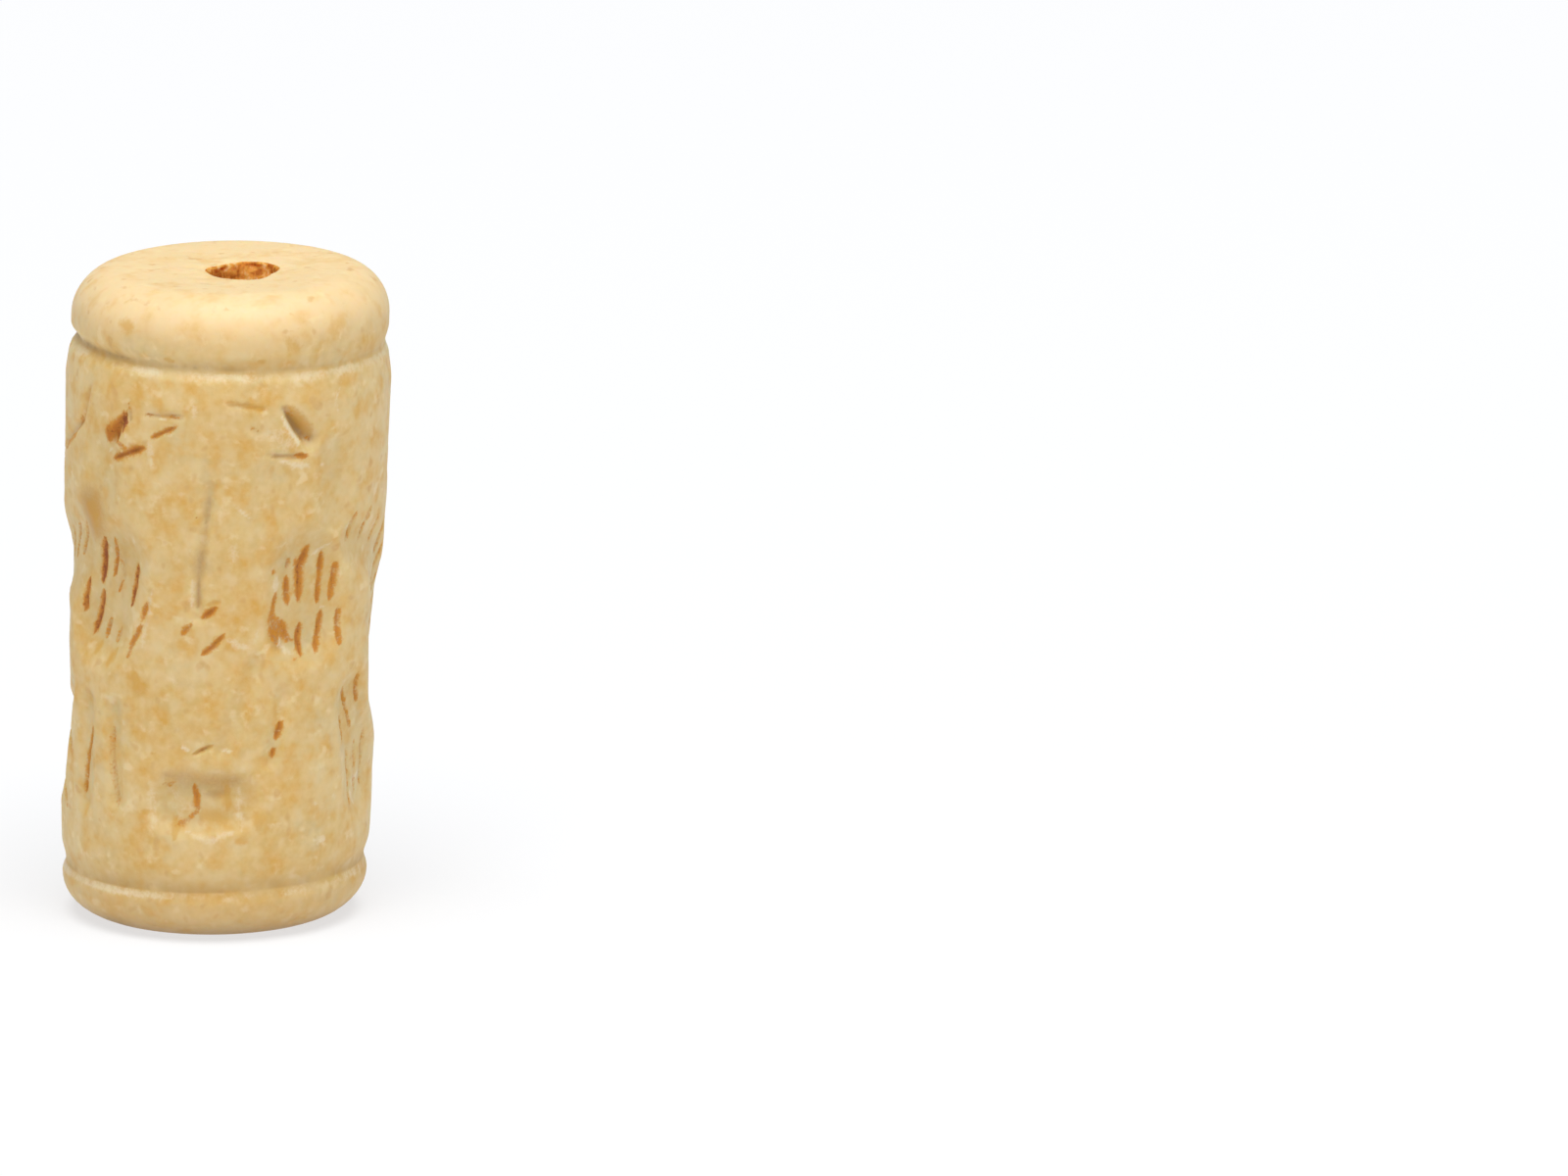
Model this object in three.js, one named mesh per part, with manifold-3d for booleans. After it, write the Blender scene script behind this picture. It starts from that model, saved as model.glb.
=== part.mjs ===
// A carved stone cylinder seal, standing on its flat lower end, as one solid.
// Millimetres, +Z up. The origin is on the surface it stands on, under the middle of its centre line.
// The front faces -Y. A place on the wall is given as [degrees, share]: degrees round from the front,
// positive to the right, and a share of the picture band's height, from its lower groove to its upper one.

import * as THREE from 'three';
import Module from 'manifold-3d';

// The turned body
const SEAL_HEIGHT = 32;
const LEAN = 1.1; // how far the centre line drifts to +X on its way up; both ends stay level
const FOOT_RADIUS = 7.4; // of the foot, below the lower groove
const CAP_RADIUS = 7.7; // of the cap, above the upper groove
const BELLY_STEP = 0.1; // how far the picture band stands out past the foot, at the lower groove
const SHOULDER_STEP = 0.24; // how far it stands out past the cap, at the upper groove
const LOWER_EDGE_ROUNDING = 2.1;
const CAP_EDGE_ROUNDING = 2.2;

// The two turned grooves that frame the picture band
const LOWER_GROOVE_HEIGHT = 2.63;
const UPPER_GROOVE_BELOW_TOP = 3.34;
const LOWER_GROOVE_DEPTH = 0.24;
const UPPER_GROOVE_DEPTH = 0.34;
const GROOVE_WIDTH = 0.9;
const LOWER_GROOVE_RISE = -0.1; // how much higher each groove is on the left than at the front
const UPPER_GROOVE_RISE = 0.22;

// The lengthwise bore, drilled from both ends so that it narrows in the middle
const BORE_MOUTH_RADIUS = 1.75;
const BORE_WAIST_RADIUS = 1.35;
const BORE_TOP_OFFSET = [0.5, -0.4]; // from the centre of the upper end
const BORE_BOTTOM_OFFSET = [0.4, 0.1];
const BORE_UNEVENNESS = 0.1; // how far the mouth is from round

// The carver's tools
const DRILL_DEPTH = 0.6;
const BODY_DEPTH = 0.62;
const WING_DEPTH = 0.58;
const SHALLOW_DEPTH = 0.24;
const FEATHER_CUT_WIDTH = 0.36;
const FEATHER_CUT_DEPTH = 0.3;
const BROAD_CUT_WIDTH = 0.6;
const BROAD_CUT_DEPTH = 0.42;
const CUT_STEP = 2.8; // the longest straight run of a cut
const CUTTER_PROUD = 0.16; // how far a cutter stands off the wall

// How finely the surface is divided
const COLUMNS = 54;
const BAND_ROWS = 26;
const ROUNDING_STEPS = 4;
const BORE_STEPS = 4;

const STONE = { color: 0xe2c48c, roughness: 0.5, metalness: 0 };

const radians = (degrees) => THREE.MathUtils.degToRad(degrees);
const mix = (from, to, share) => from + (to - from) * share;
const upperGrooveHeight = SEAL_HEIGHT - UPPER_GROOVE_BELOW_TOP;
const bandHeight = upperGrooveHeight - LOWER_GROOVE_HEIGHT;
const bellyRadius = FOOT_RADIUS + BELLY_STEP;
const shoulderRadius = CAP_RADIUS + SHOULDER_STEP;
const carvingRadius = (bellyRadius + shoulderRadius) / 2;
const grooveHalf = GROOVE_WIDTH / 2;

// A fillet never runs into the groove beside it.
const lowerRounding = Math.min(LOWER_EDGE_ROUNDING, LOWER_GROOVE_HEIGHT - grooveHalf);
const capRounding = Math.min(CAP_EDGE_ROUNDING, UPPER_GROOVE_BELOW_TOP - grooveHalf);

// The sideways place of the centre line at a height.
const centreX = (z) => LEAN * (z / SEAL_HEIGHT - 0.5);

// The height of each groove at an angle: each lies in its own slightly tilted plane.
const lowerGrooveAt = (degrees) => LOWER_GROOVE_HEIGHT - LOWER_GROOVE_RISE * Math.sin(radians(degrees));
const upperGrooveAt = (degrees) => upperGrooveHeight - UPPER_GROOVE_RISE * Math.sin(radians(degrees));
const heightAt = (degrees, share) => mix(lowerGrooveAt(degrees), upperGrooveAt(degrees), share);

// A direction round the seal, and the way along the wall to the right.
const outward = (degrees) => new THREE.Vector3(Math.sin(radians(degrees)), -Math.cos(radians(degrees)), 0);
const sideways = (degrees) => new THREE.Vector3(Math.cos(radians(degrees)), Math.sin(radians(degrees)), 0);

// Hollows and cuts, as the figures below leave them

const hollows = [];
const cuts = [];

// A sunken trough along a chain of places; a lone place makes a round bowl. Its width and depth run from
// the first place to the last, and floor is the share of its width that is flat.
function hollow(places, { width, depth, endWidth = width, endDepth = depth, floor = 0.1 }) {
  const chain = places.length > 1 ? places : [places[0], places[0]];
  hollows.push({ chain, width, depth, endWidth, endDepth, floor });
}

// An engraved cut along a chain of places, V-shaped and pointed at both ends.
function cut(places, { width = FEATHER_CUT_WIDTH, depth = FEATHER_CUT_DEPTH } = {}) {
  cuts.push({ places, width, depth });
}

// A row of feather cuts side by side. Each starts at one of the angles and runs down from the upper share
// to the lower one, while it drifts by the given degrees. The ends follow the row's own rise.
function featherRow(angles, { upper, lower, drift = 0, rise = 0, ...size }) {
  const middle = (angles[0] + angles[angles.length - 1]) / 2;
  for (const degrees of angles) {
    const lift = rise * (degrees - middle);
    cut([[degrees, upper + lift], [degrees + drift, lower + lift]], size);
  }
}

// Feather cuts hanging from a wing's leading edge, from its root to its tip. Each starts on the edge,
// a little in from it, and its length runs from the root's share to the tip's.
function wingFan(root, tip, { count, rootLength, tipLength, drift, bow = 0, ...size }) {
  for (let i = 0; i < count; i += 1) {
    const along = count > 1 ? i / (count - 1) : 0.5;
    const degrees = mix(root[0], tip[0], along);
    const start = mix(root[1], tip[1], along) + bow * Math.sin(Math.PI * along);
    cut([[degrees, start], [degrees + drift, start - mix(rootLength, tipLength, along)]], size);
  }
}

// The two birds that stand facing each other across the spear

function standingBirdLeft() {
  hollow([[-44, 0.61], [-50, 0.5]], { width: 5.6, depth: BODY_DEPTH, floor: 0.35 });
  cut([[-51, 0.652], [-54, 0.56]], { width: 0.42 });
  cut([[-45.5, 0.654], [-46.5, 0.58]]);
  cut([[-43.5, 0.63], [-41, 0.59]], { depth: FEATHER_CUT_DEPTH / 2 });
  cut([[-33, 0.615], [-36, 0.535]]);
  cut([[-61, 0.565], [-63, 0.5]]);
  cut([[-52.5, 0.548], [-58, 0.463]], { width: 0.42 });
  cut([[-47.5, 0.5], [-50.5, 0.462]]);
  cut([[-41.5, 0.487], [-43, 0.458]], { depth: FEATHER_CUT_DEPTH / 2 });
  cut([[-27, 0.548], [-29, 0.513]]);
  cut([[-29, 0.505], [-35, 0.44]]);

  hollow([[-50, 0.7], [-47, 0.82]], { width: 3, depth: SHALLOW_DEPTH });
  cut([[-36, 0.91], [-45.5, 0.836]], { width: 0.9, depth: 0.5 });
  cut([[-43, 0.812], [-29, 0.845]], { width: BROAD_CUT_WIDTH });
  cut([[-26.5, 0.864], [-17, 0.891]], { width: 0.42 });
  cut([[-28.5, 0.907], [-14.5, 0.911]]);

  hollow([[-66, 0.6], [-90, 0.545], [-115, 0.41], [-131, 0.32]], {
    width: 6, endWidth: 3.2, depth: WING_DEPTH, endDepth: 0.4, floor: 0.2,
  });
  wingFan([-63, 0.67], [-127, 0.395], {
    count: 9, rootLength: 0.07, tipLength: 0.08, drift: -6, bow: 0.06,
  });
  cut([[-93, 0.444], [-105, 0.384], [-114, 0.34], [-136, 0.283]], {
    width: BROAD_CUT_WIDTH, depth: BROAD_CUT_DEPTH,
  });
  hollow([[-87, 0.47], [-88, 0.33]], { width: 6, depth: 0.36 });

  hollow([[-78, 0.35], [-94, 0.21]], {
    width: 3.4, endWidth: 5.8, depth: 0.42, endDepth: 0.74, floor: 0.3,
  });
  wingFan([-76, 0.33], [-101, 0.3], { count: 3, rootLength: 0.11, tipLength: 0.12, drift: 9 });
  wingFan([-80, 0.2], [-113, 0.22], { count: 5, rootLength: 0.08, tipLength: 0.1, drift: 8 });

  hollow([[-55.5, 0.34], [-57, 0.15]], { width: 1.7, depth: SHALLOW_DEPTH });
  cut([[-53, 0.29], [-59, 0.16]]);
  hollow([[-41, 0.34], [-39.5, 0.17]], { width: 1.5, depth: SHALLOW_DEPTH * 0.8 });
  cut([[-41.5, 0.3], [-38.5, 0.155]], { depth: FEATHER_CUT_DEPTH / 2 });
}

function standingBirdRight() {
  hollow([[34, 0.61], [34, 0.51]], { width: 5.4, depth: BODY_DEPTH * 0.85, floor: 0.4 });
  cut([[27, 0.636], [27, 0.545]]);
  cut([[34.5, 0.652], [32, 0.55]], { width: 0.48 });
  cut([[41.5, 0.638], [40.5, 0.543]]);
  cut([[47.5, 0.614], [46, 0.543]]);
  cut([[21.5, 0.568], [21, 0.48]], { width: 0.42 });
  cut([[23.5, 0.518], [29, 0.474]], { depth: FEATHER_CUT_DEPTH / 2 });
  cut([[32, 0.507], [32.5, 0.443]]);
  cut([[42.5, 0.522], [39.5, 0.448]]);
  cut([[49.5, 0.528], [49.5, 0.456]]);

  hollow([[45, 0.7], [43, 0.82]], { width: 3, depth: SHALLOW_DEPTH });
  cut([[0, 0.943], [17, 0.925]], { depth: FEATHER_CUT_DEPTH / 2 });
  cut([[20.5, 0.93], [33, 0.86]], { width: 1.25, depth: 0.62 });
  cut([[15, 0.842], [31, 0.834]], { width: BROAD_CUT_WIDTH });
  cut([[5, 0.9], [17, 0.874]], { width: BROAD_CUT_WIDTH, depth: FEATHER_CUT_DEPTH / 2 });

  hollow([[56, 0.65], [77, 0.6], [92, 0.46], [102, 0.33]], {
    width: 3.6, endWidth: 4.2, depth: 0.36, endDepth: WING_DEPTH, floor: 0.2,
  });
  hollow([[88, 0.47], [92, 0.35]], { width: 7, depth: 0.5 });
  wingFan([55.8, 0.705], [86, 0.66], {
    count: 4, rootLength: 0.055, tipLength: 0.065, drift: -3, bow: 0.02,
  });
  wingFan([91, 0.614], [109.8, 0.372], {
    count: 5, rootLength: 0.09, tipLength: 0.1, drift: -9, bow: 0.02,
  });
  cut([[101.4, 0.262], [88, 0.34], [80, 0.384]], { width: BROAD_CUT_WIDTH, depth: BROAD_CUT_DEPTH });

  hollow([[60, 0.34], [70, 0.17]], { width: 3.6, endWidth: 4.8, depth: 0.4, endDepth: 0.42, floor: 0.3 });
  cut([[55, 0.365], [63, 0.28]]);
  cut([[64, 0.385], [67, 0.325]]);
  featherRow([61, 67.5, 74], { upper: 0.25, lower: 0.14, drift: 2.6, rise: 0.002 });

  hollow([[25, 0.38], [20.5, 0.25]], { width: 1.2, depth: SHALLOW_DEPTH * 0.6 });
  cut([[24.5, 0.323], [21.3, 0.257]]);
  hollow([[14, 0.44], [2.5, 0.28]], { width: 1.4, depth: SHALLOW_DEPTH * 0.6 });
  cut([[-8, 0.267], [-1, 0.285]]);
}

// The bird on the back, seen from the front with both wings spread.
function spreadBird() {
  hollow([[164, 0.64], [164, 0.57]], { width: 6, depth: BODY_DEPTH, floor: 0.3 });
  featherRow([179.5, 171.5, 164, 155.5, 148], { upper: 0.705, lower: 0.63 });
  featherRow([184.5, 176, 167.5, 159, 151], { upper: 0.59, lower: 0.515 });
  cut([[173.5, 0.452], [159, 0.435]], { width: BROAD_CUT_WIDTH });

  hollow([[148, 0.65], [126, 0.68], [108, 0.75]], {
    width: 4.6, endWidth: 2.4, depth: 0.5, endDepth: 0.3,
  });
  cut([[146, 0.735], [120, 0.79], [94, 0.856]], { width: 0.45, depth: BROAD_CUT_DEPTH });
  wingFan([138.8, 0.735], [95, 0.84], {
    count: 6, rootLength: 0.2, tipLength: 0.045, drift: -2.2, bow: -0.012,
  });

  hollow([[181, 0.65], [202, 0.67], [222, 0.75]], {
    width: 4.8, endWidth: 2.8, depth: 0.5, endDepth: 0.26,
  });
  cut([[199, 0.69], [222, 0.8], [245, 0.945]], { width: 0.45, depth: BROAD_CUT_DEPTH });
  wingFan([190, 0.685], [236, 0.78], {
    count: 6, rootLength: 0.15, tipLength: 0.16, drift: -3.6, bow: 0.015,
  });

  hollow([[167, 0.4], [164, 0.15]], {
    width: 4.6, endWidth: 6.2, depth: 0.34, endDepth: 0.42, floor: 0.6,
  });
  wingFan([158, 0.38], [182, 0.38], { count: 4, rootLength: 0.2, tipLength: 0.2, drift: 0, width: 0.3 });
  cut([[151.5, 0.27], [147, 0.13]], { width: 0.45 });

  cut([[196, 0.473], [210.6, 0.241]], { width: 0.5 });
  cut([[216, 0.3], [210.6, 0.235]], { width: 0.5 });
  cut([[147.2, 0.446], [137.7, 0.325], [119, 0.17]], { width: 0.5 });
  hollow([[217.5, 0.154]], { width: 3.3, depth: DRILL_DEPTH, floor: 0.25 });
  hollow([[119.8, 0.125]], { width: 3.4, depth: DRILL_DEPTH, floor: 0.25 });

  cut([[171, 0.92], [184, 0.822]], { width: 0.8, depth: 0.45 });
  cut([[183.8, 0.81], [164, 0.823]], { width: BROAD_CUT_WIDTH, depth: BROAD_CUT_DEPTH });
  cut([[144.2, 0.91], [163, 0.856]]);
  cut([[152, 0.903], [166, 0.896]]);
}

// What fills the spaces between the birds: a spear, a long oval hollow below it whose upper wall is the
// steeper one, an arrow, and a drilled dot.
function emblems() {
  hollow([[-4, 0.78], [-6, 0.69], [-8, 0.6], [-7.5, 0.53]], { width: 0.9, depth: 0.16 });
  cut([[-4, 0.765], [-8, 0.6], [-7, 0.54]]);
  cut([[-5.5, 0.53], [-1, 0.55]]);
  cut([[-13, 0.497], [-10, 0.515]]);
  cut([[-5.5, 0.46], [2, 0.498]]);

  hollow([[-14, 0.17], [6, 0.174]], { width: 3.7, depth: 0.42, floor: 0.35 });
  hollow([[-15, 0.192], [7, 0.197]], { width: 2, depth: 0.5 });

  cut([[-56, 0.94], [-62, 0.865], [-85, 0.79], [-98.5, 0.729]], { width: 0.7, depth: BROAD_CUT_DEPTH });
  cut([[-92, 0.832], [-83.9, 0.741]]);
  hollow([[89.6, 0.81]], { width: 0.9, depth: SHALLOW_DEPTH });
}

standingBirdLeft();
standingBirdRight();
spreadBird();
emblems();

// The surface

// How deep a hollow is at a place, in millimetres: full on its floor, then easing out to its rim.
// Distances are measured on the unrolled wall.
function hollowDepth({ chain, width, depth, endWidth, endDepth, floor }, degrees, share) {
  const turn = 360 * Math.round((chain[0][0] - degrees) / 360);
  const flat = ([angle, height]) => (
    new THREE.Vector2(radians(angle - turn - degrees) * carvingRadius, (height - share) * bandHeight)
  );
  let deepest = 0;
  for (let i = 1; i < chain.length; i += 1) {
    const from = flat(chain[i - 1]);
    const run = flat(chain[i]).sub(from);
    const along = run.lengthSq() > 0 ? THREE.MathUtils.clamp(-from.dot(run) / run.lengthSq(), 0, 1) : 0;
    const progress = (i - 1 + along) / (chain.length - 1);
    const distance = from.addScaledVector(run, along).length() / (mix(width, endWidth, progress) / 2);
    const fall = 1 - THREE.MathUtils.smoothstep(distance, floor, 1);
    deepest = Math.max(deepest, fall * mix(depth, endDepth, progress));
  }
  return deepest;
}

// All hollows together, blended so that neighbours run into each other without a crease.
function carvedDepth(degrees, share) {
  const sum = hollows.reduce((total, each) => total + hollowDepth(each, degrees, share) ** 4, 0);
  return sum ** 0.25;
}

function wallRadius(degrees, share) {
  return mix(bellyRadius, shoulderRadius, share) - carvedDepth(degrees, share);
}

// A point at a radius from the leaning centre line.
function onCentre(degrees, radius, z) {
  return outward(degrees).multiplyScalar(radius).add(new THREE.Vector3(centreX(z), 0, z));
}

// The wall is divided evenly, and its rows stop half a groove's width short of the grooves.
const columnStep = 360 / COLUMNS;
const edgeShare = grooveHalf / bandHeight;
const rowShare = (row) => mix(edgeShare, 1 - edgeShare, row / BAND_ROWS);

// The radius that the flat facets have at a place, between the four corners around it.
function facetRadius(degrees, share) {
  const columns = degrees / columnStep;
  const column = Math.floor(columns);
  const rows = ((share - edgeShare) / (1 - 2 * edgeShare)) * BAND_ROWS;
  const row = THREE.MathUtils.clamp(Math.floor(rows), 0, BAND_ROWS - 1);
  const corner = (i, j) => wallRadius((column + i) * columnStep, rowShare(row + j));
  const level = (j) => mix(corner(0, j), corner(1, j), columns - column);
  return mix(level(0), level(1), rows - row);
}

// A point of the faceted wall, lifted off it or sunk into it by a few tenths.
function facetPoint([degrees, share], lift) {
  return onCentre(degrees, facetRadius(degrees, share) + lift, heightAt(degrees, share));
}

// A ring of the bore: its radius narrows to the waist, its centre runs from one mouth to the other,
// and the hand-drilled wall is a little out of round, most of all at the mouths.
function borePoint(degrees, z) {
  const up = z / SEAL_HEIGHT;
  const fromWaist = Math.abs(2 * up - 1);
  const wave = Math.sin(radians(3 * degrees + 40)) + 0.5 * Math.sin(radians(5 * degrees - 60));
  const radius = mix(BORE_WAIST_RADIUS, BORE_MOUTH_RADIUS, fromWaist) + BORE_UNEVENNESS * wave * fromWaist;
  const point = onCentre(degrees, radius, z);
  point.x += mix(BORE_BOTTOM_OFFSET[0], BORE_TOP_OFFSET[0], up);
  point.y += mix(BORE_BOTTOM_OFFSET[1], BORE_TOP_OFFSET[1], up);
  return point;
}

// The rings from the lower mouth of the bore, over the outside, and back down the bore.
function surfaceRings() {
  const rings = [];
  rings.push((degrees) => borePoint(degrees, 0));
  for (let i = 0; i <= ROUNDING_STEPS; i += 1) {
    const turn = (Math.PI / 2) * (i / ROUNDING_STEPS);
    const radius = FOOT_RADIUS - lowerRounding * (1 - Math.sin(turn));
    rings.push((degrees) => onCentre(degrees, radius, lowerRounding * (1 - Math.cos(turn))));
  }
  const lowerFloor = FOOT_RADIUS - LOWER_GROOVE_DEPTH;
  rings.push((degrees) => onCentre(degrees, lowerFloor, lowerGrooveAt(degrees)));
  for (let i = 0; i <= BAND_ROWS; i += 1) {
    const share = rowShare(i);
    rings.push((degrees) => onCentre(degrees, wallRadius(degrees, share), heightAt(degrees, share)));
  }
  const upperFloor = CAP_RADIUS - UPPER_GROOVE_DEPTH;
  const capFoot = CAP_RADIUS - UPPER_GROOVE_DEPTH / 4;
  rings.push((degrees) => onCentre(degrees, upperFloor, upperGrooveAt(degrees)));
  rings.push((degrees) => onCentre(degrees, capFoot, upperGrooveAt(degrees) + grooveHalf));
  for (let i = 0; i <= ROUNDING_STEPS; i += 1) {
    const turn = (Math.PI / 2) * (i / ROUNDING_STEPS);
    const radius = CAP_RADIUS - capRounding * (1 - Math.cos(turn));
    rings.push((degrees) => onCentre(degrees, radius, SEAL_HEIGHT - capRounding * (1 - Math.sin(turn))));
  }
  for (let i = 0; i < BORE_STEPS; i += 1) {
    rings.push((degrees) => borePoint(degrees, SEAL_HEIGHT * (1 - i / BORE_STEPS)));
  }
  return rings;
}

// The solids

const wasm = await Module();
wasm.setup();

function toSolid(points, triangles) {
  const vertProperties = new Float32Array(points.flatMap((point) => point.toArray()));
  const triVerts = new Uint32Array(triangles);
  return new wasm.Manifold(new wasm.Mesh({ numProp: 3, vertProperties, triVerts }));
}

// Joins each ring to the next and the last to the first, so the skin closes on itself through the bore.
function turnedBody() {
  const rings = surfaceRings();
  const points = [];
  const triangles = [];
  rings.forEach((ring, row) => {
    for (let column = 0; column < COLUMNS; column += 1) {
      points.push(ring(column * columnStep));
      const right = (column + 1) % COLUMNS;
      const above = ((row + 1) % rings.length) * COLUMNS;
      const corner = row * COLUMNS;
      triangles.push(corner + column, corner + right, above + right);
      triangles.push(corner + column, above + right, above + column);
    }
  });
  return toSolid(points, triangles);
}

// The places where a cut's section is set out: its two ends, a place close to each where it is already at
// full depth, and more between, close enough to follow the wall.
function cutStations({ places, width }) {
  const stations = [places[0]];
  const along = (from, to, share) => [mix(from[0], to[0], share), mix(from[1], to[1], share)];
  for (let i = 1; i < places.length; i += 1) {
    const [from, to] = [places[i - 1], places[i]];
    const length = Math.hypot(radians(to[0] - from[0]) * carvingRadius, (to[1] - from[1]) * bandHeight);
    const inset = Math.min(width / length, 0.3);
    const start = i === 1 ? inset : 0;
    const end = i === places.length - 1 ? 1 - inset : 1;
    const steps = Math.ceil(((end - start) * length) / CUT_STEP);
    for (let k = i === 1 ? 0 : 1; k <= steps; k += 1) {
      stations.push(along(from, to, mix(start, end, k / steps)));
    }
  }
  stations.push(places[places.length - 1]);
  return stations;
}

// The cutter for one cut: a three-sided spindle, sunk to the cut's depth and a little proud of the wall.
function cutter({ places, width, depth }) {
  const stations = cutStations({ places, width });
  const last = stations.length - 1;
  const points = [];
  const triangles = [];
  points.push(facetPoint(stations[0], CUTTER_PROUD));
  for (let i = 1; i < last; i += 1) {
    const [before, here, after] = [stations[i - 1], stations[i], stations[i + 1]];
    const across = new THREE.Vector2(
      (after[1] - before[1]) * bandHeight,
      -radians(after[0] - before[0]) * carvingRadius,
    ).normalize().multiplyScalar((width / 2) * (1 + CUTTER_PROUD / depth));
    const side = sideways(here[0]).multiplyScalar(across.x).add(new THREE.Vector3(0, 0, across.y));
    points.push(facetPoint(here, -depth));
    points.push(facetPoint(here, CUTTER_PROUD).add(side), facetPoint(here, CUTTER_PROUD).sub(side));
  }
  points.push(facetPoint(stations[last], CUTTER_PROUD));
  const tip = points.length - 1;
  for (let k = 0; k < 3; k += 1) {
    const next = (k + 1) % 3;
    triangles.push(0, 1 + k, 1 + next);
    for (let base = 1; base + 5 < tip; base += 3) {
      triangles.push(base + k, base + 3 + next, base + next);
      triangles.push(base + k, base + 3 + k, base + 3 + next);
    }
    triangles.push(tip, tip - 3 + next, tip - 3 + k);
  }
  return toSolid(points, triangles);
}

function toMesh(solid, name) {
  const { vertProperties, triVerts } = solid.getMesh();
  const geometry = new THREE.BufferGeometry();
  geometry.setAttribute('position', new THREE.BufferAttribute(vertProperties, 3));
  geometry.setIndex(new THREE.BufferAttribute(triVerts, 1));
  geometry.computeVertexNormals();
  const mesh = new THREE.Mesh(geometry, new THREE.MeshStandardMaterial(STONE));
  mesh.name = name;
  return mesh;
}

const carved = cuts.reduce((solid, each) => solid.subtract(cutter(each)), turnedBody());

const group = new THREE.Group();
group.add(toMesh(carved, 'cylinder_seal'));
export default group;
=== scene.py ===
# A carved stone cylinder seal, standing on its flat lower end.
# Lengths are millimetres until a mesh is made. The front faces -Y. A place on the wall is given as
# (degrees, share): degrees round from the front, positive to the right, and a share of the picture band's
# height, from its lower groove to its upper one. Places on the cap have a share above 1.
import math

import bpy
import numpy as np
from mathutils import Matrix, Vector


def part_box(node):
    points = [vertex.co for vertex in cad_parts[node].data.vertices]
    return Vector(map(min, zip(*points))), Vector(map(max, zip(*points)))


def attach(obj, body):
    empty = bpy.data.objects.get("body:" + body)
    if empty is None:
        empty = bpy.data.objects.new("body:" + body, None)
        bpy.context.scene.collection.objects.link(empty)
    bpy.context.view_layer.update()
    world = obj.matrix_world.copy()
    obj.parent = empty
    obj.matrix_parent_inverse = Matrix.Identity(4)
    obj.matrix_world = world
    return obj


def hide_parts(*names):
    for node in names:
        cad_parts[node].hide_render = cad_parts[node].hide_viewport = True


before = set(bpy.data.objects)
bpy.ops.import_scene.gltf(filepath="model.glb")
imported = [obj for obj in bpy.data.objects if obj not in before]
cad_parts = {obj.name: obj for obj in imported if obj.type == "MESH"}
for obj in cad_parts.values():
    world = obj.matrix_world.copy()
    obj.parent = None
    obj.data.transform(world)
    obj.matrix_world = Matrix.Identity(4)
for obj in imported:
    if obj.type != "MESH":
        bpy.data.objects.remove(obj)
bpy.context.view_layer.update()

MM = 0.001

# The turned body
SEAL_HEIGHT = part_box("cylinder_seal")[1][2] / MM
LEAN = 1.1
FOOT_RADIUS = 7.4
CAP_RADIUS = 7.7
BELLY_RADIUS = 7.5
SHOULDER_RADIUS = 7.94
FOOT_ROUNDING = 2.0
FOOT_INWARD = 2.4
CAP_ROUNDING = 2.2

# The grooves that frame the picture band, and how far the band's edges are worn round beside them
LOWER_GROOVE_HEIGHT = 2.63
UPPER_GROOVE_HEIGHT = SEAL_HEIGHT - 3.34
LOWER_GROOVE_DEPTH = 0.15
UPPER_GROOVE_DEPTH = 0.26
LOWER_GROOVE_REACH = 1.1
UPPER_GROOVE_REACH = 0.7
LOWER_WEAR = 1.6
UPPER_WEAR = 2.1
LOWER_GROOVE_RISE = -0.1
UPPER_GROOVE_RISE = 0.22

# The bore, drilled from both ends so that it narrows in the middle, and its mouth chipped on one side
MOUTH_RADIUS = 1.56
WAIST_RADIUS = 1.35
BORE_TOP = (0.5, -0.65)
BORE_BOTTOM = (0.4, 0.1)
BORE_UNEVENNESS = 0.1
MOUTH_CHIP = 0.5
CHIP_DIRECTION = 160
FUNNEL_DEPTH = 1.4
LIP_ROUNDING = 0.16
LIP_DROP = 0.06

# How uneven the worn surface is, how far apart its swellings are, and how far the marks' edges wander
FOOT_UNEVENNESS = 0.05
CAP_UNEVENNESS = 0.04
SWELLING_SIZE = 3.2
EDGE_WAVER = 0.04
WAVER_SIZE = 0.5

# The carver's tools
DRILL_DEPTH = 0.6
BODY_DEPTH = 0.62
WING_DEPTH = 0.58
SHALLOW_DEPTH = 0.24
FEATHER_WIDTH = 0.3
FEATHER_DEPTH = 0.13
BROAD_WIDTH = 0.55
BROAD_DEPTH = 0.36

BAND_HEIGHT = UPPER_GROOVE_HEIGHT - LOWER_GROOVE_HEIGHT
CARVING_RADIUS = (BELLY_RADIUS + SHOULDER_RADIUS) / 2
COLUMNS = 330


def mix(start, end, share):
    return start + (end - start) * share


def ease(value, low=0.0, high=1.0):
    """Smoothstep: 0 below low, 1 above high, and 3t^2 - 2t^3 between them."""
    t = np.clip((value - low) / (high - low), 0, 1)
    return t * t * (3 - 2 * t)


# Hollows, cuts and marks

hollows = []
cuts = []
marks = {"rust": [], "chalk": [], "ochre": [], "dirt": []}


def hollow(places, width, depth, end_width=None, end_depth=None, floor=0.1):
    """A sunken trough along a chain of places. Its width and depth run from the first place to the
    last, and floor is the share of its width that is flat."""
    hollows.append((places, (width, end_width or width), (depth, end_depth or depth), floor))


def cut(places, width=FEATHER_WIDTH, depth=FEATHER_DEPTH, rust=0.0):
    """An engraved cut along a chain of places, round-bottomed and pointed at both ends. rust is how
    strongly the orange-brown deposit fills it."""
    cuts.append((places, width, depth))
    if rust:
        mark("rust", places, width, rust)


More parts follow.
